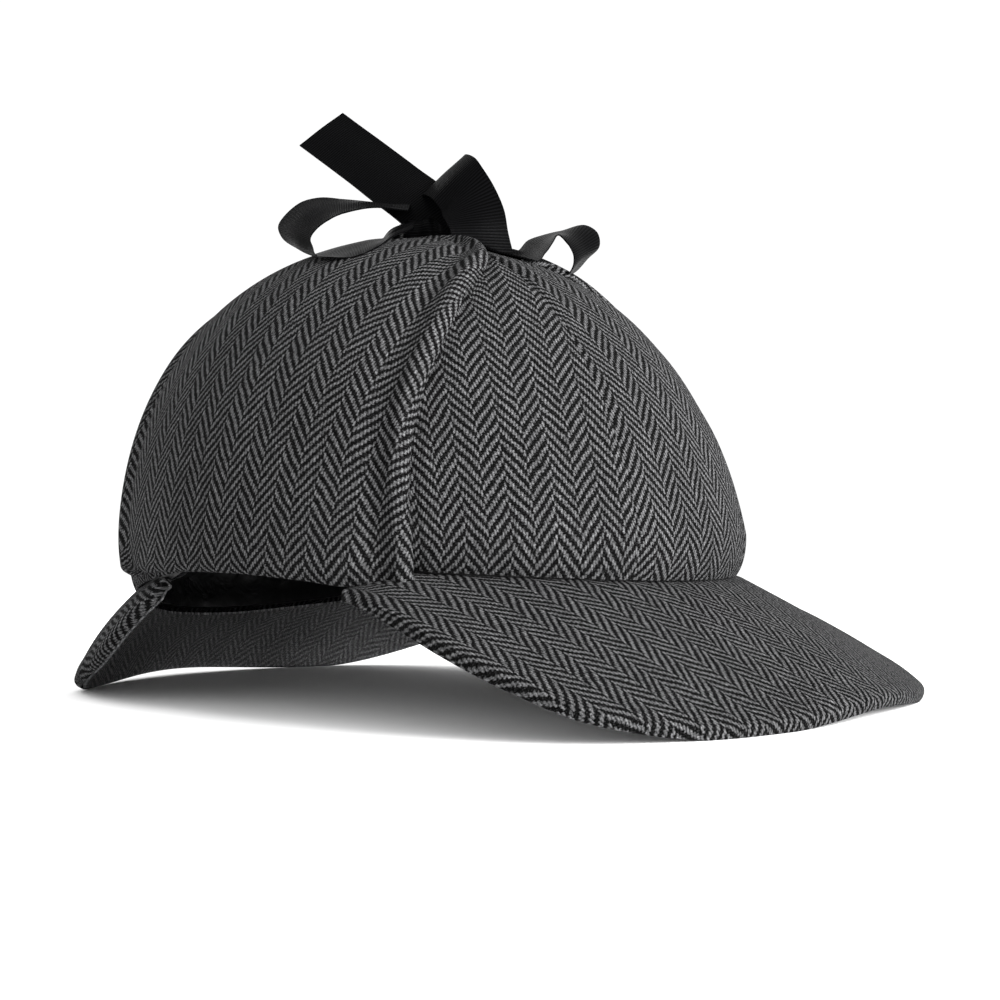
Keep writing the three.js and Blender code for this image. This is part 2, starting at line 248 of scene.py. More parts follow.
def lay(name, grid, place, thread, relief, thickness, crowd=(even, even), closed=False):
    """A cloth sheet whose outside is place(u, v), and whose weave is counted in thread(u, v) millimetres."""
    form = bmesh.new()
    bmesh.ops.create_grid(form, x_segments=grid[0], y_segments=grid[1], size=0.5)
    spots = {vert.index: (crowd[0](vert.co.x + 0.5), crowd[1](vert.co.y + 0.5)) for vert in form.verts}
    cloth = form.loops.layers.uv.new("cloth")
    for face in form.faces:
        for loop in face.loops:
            loop[cloth].uv = thread(*spots[loop.vert.index])
    for vert in form.verts:
        vert.co = place(*spots[vert.index])
    form.normal_update()
    lifts = {vert.index: relief(*spots[vert.index], vert.co.copy()) for vert in form.verts}
    for vert in form.verts:
        vert.co += vert.normal * lifts[vert.index]
    bmesh.ops.remove_doubles(form, verts=form.verts[:], dist=0.01 if closed else 0.001)
    area = sum(face.calc_area() for face in form.faces)
    thicken(form, thickness)
    return finish_piece(name, form), area


def thicken(form, thickness):
    """Gives a sheet its thickness inwards."""
    form.normal_update()
    inward = form.verts.layers.float_vector.new("inward")
    for vert in form.verts:
        vert[inward] = -vert.normal
    inside = bmesh.ops.extrude_face_region(form, geom=form.faces[:], use_keep_orig=True)["geom"]
    for vert in inside:
        if isinstance(vert, bmesh.types.BMVert):
            vert.co += vert[inward] * thickness
    bmesh.ops.recalc_face_normals(form, faces=form.faces[:])


def finish_piece(name, form):
    """Stands a form in the frame, in metres, and makes it an object with soft shading."""
    for vert in form.verts:
        vert.co = in_row(vert.co)
    for face in form.faces:
        face.smooth = True
    for edge in form.edges:
        edge.smooth = len(edge.link_faces) != 2 or edge.calc_face_angle() < math.radians(60)
    mesh = bpy.data.meshes.new(name)
    form.to_mesh(mesh)
    form.free()
    piece = bpy.data.objects.new(name, mesh)
    bpy.context.scene.collection.objects.link(piece)
    return piece


def wear(piece, node_name, material):
    """Puts a finished piece in the hat: it stands for a CAD node and takes a material."""
    piece.data.materials.append(material)
    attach(piece, "root")
    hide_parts(node_name)
    print(piece.name, "has", len(piece.data.polygons), "faces")


# %% [markdown]
# ## Small shapes in cloth
# Three soft shapes make all the relief. A slow unevenness stands for handling. A ridge stands for a seam
# allowance or the valley of a seam. A roll turns the cloth over at a folded edge.


# %% Reliefs
def waves(point, scale, seed=0):
    """Slow unevenness from -1 to 1, over about scale millimetres."""
    return noise.noise(Vector(point) / scale + Vector((seed * 7.3, seed * 3.1, seed)))


def ridge(distance, middle, width):
    """A soft ridge: 1 at the middle, and nothing beyond about twice its width."""
    return math.exp(-(((distance - middle) / width) ** 2))


def roll(distance, radius):
    """How far the cloth has turned down at a distance from its folded edge."""
    return radius * (1 - math.sqrt(1 - (1 - min(max(distance, 0) / radius, 1)) ** 2))


def round_the_edge(distance, radius):
    """The cloth that a roll uses up, more than the flat distance."""
    share = 1 - min(max(distance, 0) / radius, 1)
    return radius * (math.asin(share) - share)


# %% [markdown]
# ## Colours and nodes
# Colours are written as sRGB hex values, as a colour picker shows them, and one function turns them to
# the linear values that Blender works in. Another adds a node with its settings and links.


# %% Material helpers
def colour(code):
    channels = [int(code[i : i + 2], 16) / 255 for i in (1, 3, 5)]
    return [c / 12.92 if c <= 0.04045 else ((c + 0.055) / 1.055) ** 2.4 for c in channels] + [1]


def node(tree, kind, inputs=None, output=0, **settings):
    """Adds a node. An input is a number, a colour, or another node's output to link."""
    made = tree.nodes.new("ShaderNode" + kind)
    for name, value in settings.items():
        setattr(made, name, value)
    for socket, value in (inputs or {}).items():
        if isinstance(value, bpy.types.NodeSocket):
            tree.links.new(value, made.inputs[socket])
        else:
            made.inputs[socket].default_value = value
    return made.outputs[output] if made.outputs else made


def new_material(name):
    material = bpy.data.materials.new(name)
    material.use_nodes = True
    tree = material.node_tree
    tree.nodes.clear()
    return material, tree


# %% [markdown]
# ## Herringbone tweed
# Tweed is carded wool, spun thick and hairy and woven in a two-and-two twill: each yarn goes over two
# crossing yarns and under two, one step further along in each row. Turning the step back every nine
# yarns, with a skip of half a repeat, draws the zigzag with its broken points. So the material counts
# yarns in both directions and asks which one lies on top at each crossing. The yarn on top is drawn as a
# float, rounded across and dipping at both ends.

# %% Which yarn lies on top
WARP_PITCH = 0.67
WEFT_PITCH = 0.9
TURN = 9
ROUND_ACROSS = 0.85
ROUND_ALONG = 0.7


def weave(tree, place):
    """Counts the yarns at a place: warp, weft, whether the warp is up, and the float's height."""
    yarns = (1 / WARP_PITCH, 1 / WEFT_PITCH, 1)
    yarns = node(tree, "VectorMath", {0: place, 1: yarns}, operation="MULTIPLY")
    across = node(tree, "SeparateXYZ", {0: yarns})
    along = across.node.outputs[1]

    warp = node(tree, "Math", {0: across}, operation="FLOOR")
    weft = node(tree, "Math", {0: along}, operation="FLOOR")
    column = node(tree, "Math", {0: warp, 1: TURN}, operation="DIVIDE")
    column = node(tree, "Math", {0: column}, operation="FLOOR")
    in_column = node(tree, "Math", {0: column, 1: -TURN, 2: warp}, operation="MULTIPLY_ADD")
    odd = node(tree, "Math", {0: column, 1: 2.0}, operation="FLOORED_MODULO")
    lean = node(tree, "Math", {0: odd, 1: -2.0, 2: 1.0}, operation="MULTIPLY_ADD")
    step = node(tree, "Math", {0: lean, 1: in_column, 2: weft}, operation="MULTIPLY_ADD")
    step = node(tree, "Math", {0: odd, 1: TURN + 1, 2: step}, operation="MULTIPLY_ADD")
    step = node(tree, "Math", {0: step, 1: 4.0}, operation="FLOORED_MODULO")
    warp_up = node(tree, "Math", {0: step, 1: 1.5}, operation="LESS_THAN")

    warp_side = node(tree, "Math", {0: across}, operation="FRACT")
    weft_side = node(tree, "Math", {0: along}, operation="FRACT")
    warp_run = node(tree, "Math", {0: step, 1: weft_side}, operation="ADD")
    weft_run = node(tree, "Math", {0: step, 1: 2.5}, operation="SUBTRACT")
    weft_run = node(tree, "Math", {0: weft_run, 1: lean, 2: 0.5}, operation="MULTIPLY_ADD")
    weft_run = node(tree, "Math", {0: weft_run, 1: warp_side}, operation="ADD")
    side = node(tree, "Mix", {0: warp_up, 2: weft_side, 3: warp_side})
    side = node(tree, "Math", {0: side, 1: 2.0, 2: -1.0}, operation="MULTIPLY_ADD")
    side = node(tree, "Math", {0: side, 1: side}, operation="MULTIPLY")
    run = node(tree, "Mix", {0: warp_up, 2: weft_run, 3: warp_run})
    run = node(tree, "Math", {0: run, 1: 1.0}, operation="SUBTRACT")
    run = node(tree, "Math", {0: run}, operation="ABSOLUTE")
    run = node(tree, "Math", {0: run, 1: 3.0}, operation="POWER")
    side = node(tree, "Math", {0: side, 1: -ROUND_ACROSS, 2: 1.0}, operation="MULTIPLY_ADD")
    run = node(tree, "Math", {0: run, 1: -ROUND_ALONG, 2: 1.0}, operation="MULTIPLY_ADD")
    return warp, weft, warp_up, node(tree, "Math", {0: side, 1: run}, operation="MULTIPLY")


print("a zigzag of the tweed is", round(WARP_PITCH * TURN * 2, 1), "mm wide")

# %% [markdown]
# The warp here is pale grey and the weft charcoal. Wool is fuzzy and uneven, so the yarns wander a
# little, each has its own tone, the tone changes along it, and stray hairs of each colour lie over the
# other. The peaks' undersides are the same weave in a much lighter, softer copy of these colours: painted
# light that stands in for the light that does not reach under the peaks.

# %% The tweed material
WANDER = 1.8
FUZZ = 1.5
STRAYING = [
    (WANDER, {"Scale": 0.13, "Detail": 3.0, "Roughness": 0.6}),
    (FUZZ, {"Scale": 2.0, "Detail": 4.0, "Roughness": 0.8}),
]


def tweed(name, pale, dark, depth):
    material, tree = new_material(name)
    cloth = node(tree, "UVMap", uv_map="cloth")
    place = cloth
    for reach, look in STRAYING:
        stray = node(tree, "TexNoise", {"Vector": cloth} | look, output=1)
        stray = node(tree, "VectorMath", {0: stray, 1: (0.5, 0.5, 0.5)}, operation="SUBTRACT")
        stray = node(tree, "VectorMath", {0: stray, 3: reach}, operation="SCALE")
        place = node(tree, "VectorMath", {0: place, 1: stray}, operation="ADD")
    warp, weft, warp_up, float_height = weave(tree, place)

    warp_tone = node(tree, "TexWhiteNoise", {"W": warp}, noise_dimensions="1D")
    weft_tone = node(tree, "TexWhiteNoise", {"W": weft}, noise_dimensions="1D")
    tone = node(tree, "Mix", {0: warp_up, 2: weft_tone, 3: warp_tone})
    tone = node(tree, "Math", {0: tone, 1: 0.3, 2: 0.85}, operation="MULTIPLY_ADD")
    heather = node(tree, "TexNoise", {"Vector": cloth, "Scale": 1.3, "Detail": 4.0, "Roughness": 0.75})
    heather = node(tree, "MapRange", {"Value": heather, 1: 0.3, 2: 0.7, 3: 0.05, 4: 1.95})
    slow = node(tree, "TexNoise", {"Vector": cloth, "Scale": 0.03, "Detail": 2.0})
    slow = node(tree, "MapRange", {"Value": slow, 1: 0.3, 2: 0.7, 3: 0.92, 4: 1.08})
    # The float's height darkens the colour where a yarn dips under its neighbours: painted shade between the
    # yarns, as deep as depth. Tone, heather and slow are the wool's own colour.
    painted_shade_and_tone = node(tree, "Math", {0: float_height, 1: depth, 2: 1 - depth}, operation="MULTIPLY_ADD")
    for part in (tone, heather, slow):
        painted_shade_and_tone = node(tree, "Math", {0: painted_shade_and_tone, 1: part}, operation="MULTIPLY")

    hairs = node(tree, "TexNoise", {"Vector": cloth, "Scale": 2.6, "Detail": 3.0, "Roughness": 0.75})
    crossing = node(tree, "MapRange", {"Value": hairs, 1: 0.42, 2: 0.7, 3: -0.2, 4: 0.26})
    blend = node(tree, "Math", {0: warp_up, 1: crossing}, operation="ADD", use_clamp=True)
    yarn = {0: blend, 6: colour(dark), 7: colour(pale)}
    yarn = node(tree, "Mix", yarn, output=2, data_type="RGBA")
    tint = node(tree, "VectorMath", {0: yarn, 3: painted_shade_and_tone}, operation="SCALE")
    raised = node(tree, "Math", {0: hairs, 1: 0.9, 2: float_height}, operation="MULTIPLY_ADD")
    normal = node(tree, "Bump", {"Strength": 0.7, "Distance": 0.4 * MM, "Height": raised})
    wool = {"Base Color": tint, "Roughness": 0.95, "IOR": 1.45, "Specular IOR Level": 0.02}
    wool = node(tree, "BsdfPrincipled", wool | {"Normal": normal})
    node(tree, "OutputMaterial", {"Surface": wool})
    return material


TWEED_CLOTH = tweed("woven herringbone tweed", "#5f5f60", "#0d0d0d", 0.92)
# The facing is the tweed made lighter and lower in contrast: painted light for the shade under the peaks.
TWEED_FACING_PAINTED_LIGHT = tweed("herringbone facing with painted light", "#8c8c8d", "#606061", 0.45)
print("the tweeds:", TWEED_CLOTH.name, "and", TWEED_FACING_PAINTED_LIGHT.name)

# %% [markdown]
# ## Satin
# The lining and the sweatband are black satin: its warp floats over many weft yarns, so the surface is
# nearly smooth and takes long soft highlights along its folds. The weave itself is far too fine to see,
# so a faint grain in the roughness stands for it.


# %% The satin material
def satin(name, dye, roughness):
    material, tree = new_material(name)
    cloth = node(tree, "UVMap", uv_map="cloth")
    stretched = node(tree, "Mapping", {"Vector": cloth, "Scale": (3.0, 0.5, 1.0)})
    grain = node(tree, "TexNoise", {"Vector": stretched, "Scale": 1.2, "Detail": 3.0})
    gloss = node(tree, "MapRange", {"Value": grain, 3: roughness - 0.06, 4: roughness + 0.08})
    creases = node(tree, "TexNoise", {"Vector": cloth, "Scale": 0.12, "Detail": 4.0, "Distortion": 0.6})
    normal = node(tree, "Bump", {"Strength": 0.6, "Distance": 1.6 * MM, "Height": creases})
    surface = {"Base Color": colour(dye), "Roughness": gloss, "IOR": 1.5, "Specular IOR Level": 0.2}
    surface = node(tree, "BsdfPrincipled", surface | {"Normal": normal})
    node(tree, "OutputMaterial", {"Surface": surface})
    return material


BLACK_SATIN = satin("black acetate satin", "#0b0b0c", 0.36)
print("the lining's finish:", BLACK_SATIN.name)

# %% [markdown]
# ## Grosgrain
# Grosgrain ribbon has a fine warp over thick filling, so close ribs run straight across its width. They
# catch the light as fine parallel lines, about 0.9 mm apart here. The valleys between them hide most of
# the gloss of the rayon, so the ribbon looks deep black except where it turns to the light.

# %% The ribbon material
RIB = 0.9
RIBBON_WIDTH = 20


def grosgrain(name, dye):
    material, tree = new_material(name)
    cloth = node(tree, "UVMap", uv_map="cloth")
    across = node(tree, "SeparateXYZ", {0: cloth})
    along = across.node.outputs[1]
    phase = node(tree, "Math", {0: along, 1: math.tau / RIB}, operation="MULTIPLY")
    ribs = node(tree, "Math", {0: phase}, operation="SINE")
    ribs = node(tree, "Math", {0: ribs, 1: 0.5, 2: 0.5}, operation="MULTIPLY_ADD")
    threads = node(tree, "Mapping", {"Vector": cloth, "Scale": (0.6, 1.6, 1.0)})
    threads = node(tree, "TexNoise", {"Vector": threads, "Scale": 1.4, "Detail": 3.0})
    height = node(tree, "Math", {0: threads, 1: 0.5, 2: ribs}, operation="MULTIPLY_ADD")
    normal = node(tree, "Bump", {"Strength": 0.8, "Distance": 0.14 * MM, "Height": height})
    # The crests take the dye and the valleys between the ribs are painted darker: painted shade in the rib
    # valleys.
    tint = node(tree, "Mix", {0: ribs, 6: colour("#010101"), 7: colour(dye)}, output=2, data_type="RGBA")
    surface = {"Base Color": tint, "Roughness": 0.36, "IOR": 1.5, "Specular IOR Level": 0.015}
    surface = node(tree, "BsdfPrincipled", surface | {"Normal": normal})
    node(tree, "OutputMaterial", {"Surface": surface})
    return material


BLACK_RIBBON = grosgrain("black rayon grosgrain", "#070708")
print("ribs to a centimetre of ribbon:", round(10 / RIB))

# %% [markdown]
# ## The crown
# Eight gores make the crown. Each is cut to a petal whose straight grain runs up its middle, so the
# zigzags stand upright there. At the rim the gores are matched, so the stripes run on from one to the
# next, and higher up the seams cut across them. A pressed seam pulls the cloth in over two or three
# millimetres and lets it swell a little beside it, most of all near the apex, where eight allowances come
# together. The ear flaps' outline stands here too, as a table of rise in degrees and half width, because
# the ribbon ties them down tightly and the crown gives way along their edges.

# %% Gores
FLAP = [
    (-2, 64.5),
    (8, 64),
    (17, 62),
    (28, 60.5),
    (44, 60),
    (56, 57.5),
    (66, 54),
    (74, 50),
    (80, 41),
    (84.5, 28),
    (87, 14),
]
FLAP_MIDDLE = 4
FLAP_PRESS = 1
PRESS_PLACE = -0.6
PRESS_WIDTH = 1.2
MATCHED_AT = 0.2
SEAM_LOW = 0.3
SEAM_HIGH = 1.1
SEAM_WIDTH = 1.1
SWELL = 0.3
SWELL_PLACE = 4.5
SWELL_WIDTH = 2.6

flap_half = through(FLAP, mirrored=False)


def over_flap(x, y):
    """How far inside an ear flap's outline a place on the crown lies, in millimetres."""
    up = (dome_height(x, y) - CROWN_WIDEST) / CROWN_RISE
    rise = math.degrees(math.atan2(CROWN_HALF_WIDTH * up, abs(x)))
    return flap_half(min(max(rise, FLAP[0][0]), FLAP[-1][0])) - abs(y - FLAP_MIDDLE)


def seam_relief(distance, v):
    depth = SEAM_LOW + (SEAM_HIGH - SEAM_LOW) * ease(v, 0.35, 0.8)
    swell = SWELL * ridge(distance, SWELL_PLACE, SWELL_WIDTH)
    return depth * (swell - ridge(distance, 0, SEAM_WIDTH))


def gore(number):
    start, end = (math.radians(angle) for angle in GORE_SEAMS[number : number + 2])
    middle = (start + end) / 2
    climb = run_lengths(lambda t: crown_point(middle, t), 120)
    round_rim = run_lengths(lambda t: crown_point(middle * t, MATCHED_AT), 60)[-1]

    def width(v):
        return (crown_point(end, v) - crown_point(start, v)).length

    def place(u, v):
        return crown_point(start + (end - start) * u, v)

    def thread(u, v):
        return (round_rim + (u - 0.5) * width(v), read(climb, v))

    def relief(u, v, point):
        seam = seam_relief(min(u, 1 - u) * width(v), v)
        pressed = FLAP_PRESS * ridge(over_flap(point.x, point.y), PRESS_PLACE, PRESS_WIDTH)
        return seam - pressed + 0.5 * waves(point, 38) + 0.25 * waves(point, 14, 2)

    name = "gore_" + GORE_PLACES[number]
    sheet = lay(name, (64, 60), place, thread, relief, TWEED, (crowd_ends, even))
    return *sheet, (width(MATCHED_AT) * MM, climb[-1] * MM)


for number, place_name in enumerate(GORE_PLACES):
    piece, area, flat = gore(number)
    wear(piece, "crown_gore_" + place_name, TWEED_CLOTH)

# %% [markdown]
# ## The lining and the sweatband
# Inside, black satin lines the crown, and a second, narrower band of it goes round the rim where the hat
# meets the head. The band is held only along its edges, so it gathers in short upright folds. Both are
# sewn in with the peaks, so where a peak lies their lower edges reach a little below the crown's, most of
# all at the front.

# %% Satin inside
LINING_DEPTH = TWEED + GAP
BAND_DEPTH = LINING_DEPTH + SATIN + GAP
BAND_SHARE = 0.25
BAND_CLOTH = 1.2
ALLOWANCE_FRONT = 4
ALLOWANCE_REAR = 1.6
NO_PEAK = 0.2
ALL_PEAK = 0.36
LINING_FOLDS = 0.15
BAND_FOLDS = 0.7
BAND_EASE = 0.6


def inside(name, grid, depth, share, thickness, folds, fold_width):
    girth = run_lengths(lambda t: crown_point(math.tau * t, 0), 72)[-1]
    length = run_lengths(lambda t: crown_point(1.2, share * t), 40)[-1]

    def place(u, v):
        point = crown_point(math.tau * u, v * share)
        ahead = math.cos(math.tau * u)
        allowance = ALLOWANCE_FRONT if ahead > 0 else ALLOWANCE_REAR
        allowance *= ease(abs(ahead), NO_PEAK, ALL_PEAK)
        return point - Vector((0, 0, allowance if v == 0 else 0))

    def thread(u, v):
        return (u * girth, v * length)

    def relief(u, v, point):
        held = math.sin(math.pi * min(v * 1.2, 1))
        return folds * waves((point.x * 1.6, point.y * 1.6, point.z * 0.35), fold_width) * held - depth

    return *lay(name, grid, place, thread, relief, thickness, closed=True), (girth * MM, length * MM)


piece, area, flat = inside("satin_lining", (160, 48), LINING_DEPTH, 1, SATIN, LINING_FOLDS, 20)
wear(piece, "lining", BLACK_SATIN)
depth = BAND_DEPTH + BAND_EASE
piece, area, flat = inside("satin_sweatband", (320, 20), depth, BAND_SHARE, BAND_CLOTH, BAND_FOLDS, 11)
wear(piece, "sweatband", BLACK_SATIN)

# %% [markdown]
# ## The peaks
# A peak is two layers of tweed round a stiff core, sewn together and turned. The top cloth turns over the
# edge and the underside is set in behind it, with a fine valley between the two. The outline is a table
# of angles, distances from the hat's axis and heights, and a peak ends at its tip's angle, where its roll
# gets finer. The inner edge is the allowance that goes up into the rim seam, and it closes the joint to
# the crown.

# %% Peaks
PEAKS = {
    "front": {
        "bulge": 1.2,
        "tuck": 5.2,
        "tip": 63,
        "edge": [
            (0, 156.5, -39),
            (18, 156.5, -41.5),
            (25, 156, -41),
            (36, 151, -35.5),
            (42, 143, -28.5),
            (48, 133, -20.5),
            (54, 120, -13),
            (61, 106, -7),
            (67, 94, -5),
        ],
    },
    "rear": {
        "bulge": 4.2,
        "tuck": 0.2,
        "tip": 69.5,
        "edge": [
            (0, 134.5, -34.5),
            (22, 127.5, -37),
            (32, 123.5, -36.5),
            (47, 111, -29),
            (54.5, 105.5, -23),
            (61, 101, -16),
            (66, 97, -10),
            (70, 93.5, -5),
        ],
    },
}
PEAK_START = 1
PEAK_SEAT = 1.9
PEAK_CLOTH = 1.6
PEAK_ROLL = 1.9
WRAP = 1.65
INSET = 1.3
EDGE_SHARE = 0.3
UNDER_WRAP = 0.6
BULGE_SHARE = 0.7
TUCK_FROM = 54
TUCK_TO = 64
INTO_SEAM = 1.5
LEAST_DEPTH = 1.5
LEAST_FALL = 0.5


def peak(which, layer):
    edge = PEAKS[which]["edge"]
    bulge = PEAKS[which]["bulge"]
    last = PEAKS[which]["tip"]
    radius_at = through([(row[0], row[1]) for row in edge])
    height_at = through([(row[0], row[2]) for row in edge])
    on_top = layer == "top"
    wrap = WRAP if on_top else UNDER_WRAP

    def place(u, v):
        angle = last * (1 - 2 * (u if on_top else 1 - u))
        turn = math.radians(angle if which == "front" else 180 + angle)
        rim = rim_point(turn)
        inner = math.hypot(rim.x, rim.y) - PEAK_START - (INTO_SEAM if v == 0 else 0)
        start = rim.z - PEAK_SEAT - PEAKS[which]["tuck"] * ease(abs(angle), TUCK_FROM, TUCK_TO)
        finish = min(height_at(angle), start - LEAST_FALL)
        outer = max(radius_at(angle), inner + LEAST_DEPTH)
        outer -= 0 if on_top else min(INSET, EDGE_SHARE * (outer - inner))
        swell = bulge * 4 * v * (1 - v) * (1 - (angle / last) ** 2) * BULGE_SHARE
        out = inner + (outer - inner) * v + swell
        return Vector((out * math.sin(turn), -out * math.cos(turn), start + (finish - start) * v + swell))

    def from_edge(u, v):
        """How far a place is from the peak's edge, and the radius that the edge turns over there."""
        end = min(u, 1 - u) * 2 * (place(0.5, 0) - place(0, 0)).length
        deep = (place(u, 1) - place(u, 0)).length
        return min((1 - v) * deep, end), min(PEAK_ROLL, EDGE_SHARE * deep)

    def thread(u, v):
        turn = math.radians(last * (1 - 2 * (u if on_top else 1 - u)))
        seam = place(u, 0)
        out = math.hypot(seam.x, seam.y) + (place(u, v) - seam).length
        out += wrap * round_the_edge(*from_edge(u, v))
        return (out * math.sin(turn), out * math.cos(turn))

    def relief(u, v, point):
        distance, radius = from_edge(u, v)
        soft = 0.3 * ridge(distance, 4.5, 2.2) + 0.3 * waves(point, 30, 4)
        return GAP / 2 + PEAK_CLOTH + soft - wrap * roll(distance, radius)

    name = f"{which}_peak_{layer}_cloth"
    return lay(name, (170, 44), place, thread, relief, 0.8, (crowd_ends, crowd_last))


for which in ("front", "rear"):
    # The undersides take the facing with painted light, lighter than the tweed on top.
    for layer, cloth in (("top", TWEED_CLOTH), ("underside", TWEED_FACING_PAINTED_LIGHT)):
        piece, area = peak(which, layer)
        wear(piece, f"{which}_peak_{layer}", cloth)
        low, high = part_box(f"{which}_peak_{layer}")
        flat = (high[0] - low[0], high[1] - low[1])

# %% [markdown]
# ## The ear flaps
# Each flap is sewn to the rim and folded up, so its foot is a soft turned fold and its other edges hold
# their seam allowances inside: a full rounded ridge, with a hollow about a centimetre in where the
# allowance ends. The hem's table gives its height at places from front to rear, and the flap's grain
# leans a little.

# %% Ear flaps
HEM = [(-64, -4.2), (-44, -4.2), (-30, -2), (-12, 0.3), (14, 1.8), (40, 1.8), (72, 1)]
FLAP_CLOTH = 2.2
FLAP_GAP = 0.5
FLAP_ROLL = 2.2
HEM_TUCK = 0.5
CORNER_LOSS = 0.3
CORNER_RISE = 20
TIP_EASE = 1.4
RIDGE = 1.5
RIDGE_PLACE = 3.4
RIDGE_WIDTH = 2.4
HOLLOW = 1.2
HOLLOW_PLACE = 9.5
HOLLOW_WIDTH = 3.4
FOOT_FOLD = 0.5
FOOT_PLACE = 5
FOOT_WIDTH = 3
GRAIN = math.radians(5)


def flap(side, name):
    hem_at = through(HEM, mirrored=False)

    def rise_at(v):
        return FLAP[-1][0] + (FLAP[0][0] - FLAP[-1][0]) * (1 - v) ** TIP_EASE

    def across_at(u, rise):
        corner = CORNER_LOSS * (1 - min(rise / CORNER_RISE, 1)) ** 2
        return -1 + (2 - corner) * (1 - u if side < 0 else u)

    def place(u, v):
        rise = rise_at(v)
        slope = math.tan(math.radians(max(rise, CURL_TOP)))
        y = FLAP_MIDDLE + across_at(u, rise) * flap_half(rise)
        up = dome_share(lambda share: share / slope, y)
        hang = max(CURL_TOP - rise, 0) / (CURL_TOP - FLAP[0][0])
        top = CROWN_WIDEST + CROWN_RISE * up
        x = side * (CROWN_HALF_WIDTH * up / slope - HEM_TUCK * hang**2)
        return Vector((x, y, top + (hem_at(y) - top) * hang))

    climb = run_lengths(lambda t: place(0.5, t), 96)

    def thread(u, v):
        rise = rise_at(v)
        forward = -across_at(u, rise) * flap_half(rise)
        wide = 2 * flap_half(rise)
        foot, tip = read(climb, v), climb[-1] - read(climb, v)
        ahead = round_the_edge(min(u, 1 - u) * wide, FLAP_ROLL)
        up = foot + round_the_edge(tip, FLAP_ROLL) - round_the_edge(foot, FLAP_ROLL)
        return (forward + math.copysign(ahead, forward) - up * math.tan(GRAIN), up)

    def relief(u, v, point):
        wide = 2 * flap_half(rise_at(v))
        foot = read(climb, v)
        edge = min(u * wide, (1 - u) * wide, climb[-1] - foot)
        sewn = RIDGE * ridge(edge, RIDGE_PLACE, RIDGE_WIDTH)
        hollow = HOLLOW * ridge(edge, HOLLOW_PLACE, HOLLOW_WIDTH)
        fold = FOOT_FOLD * ridge(foot, FOOT_PLACE, FOOT_WIDTH)
        turned = roll(min(edge, foot), FLAP_ROLL)
        return FLAP_GAP + FLAP_CLOTH + sewn - hollow + fold - turned + 0.6 * waves(point, 34, 6)

    crowd = (crowd_ends, crowd_ends)
    return lay(name, (130, 110), place, thread, relief, FLAP_CLOTH / 2, crowd), climb[-1]


for side, place_name in ((-1, "right"), (1, "left")):
    (piece, area), tall = flap(side, "ear_flap_cloth_" + place_name)
    wear(piece, "ear_flap_" + place_name, TWEED_CLOTH)

# %% [markdown]
# ## The ribbon
# One 20 mm ribbon ties the flaps together in a bow: two loops, a short upright fold that comes up from
# the near flap's tip, and one cut end. Each strand is a sheet laid along a centre line, with the way that
# its width runs told at each fold, in a frame of its own that faces the front right of the hat.

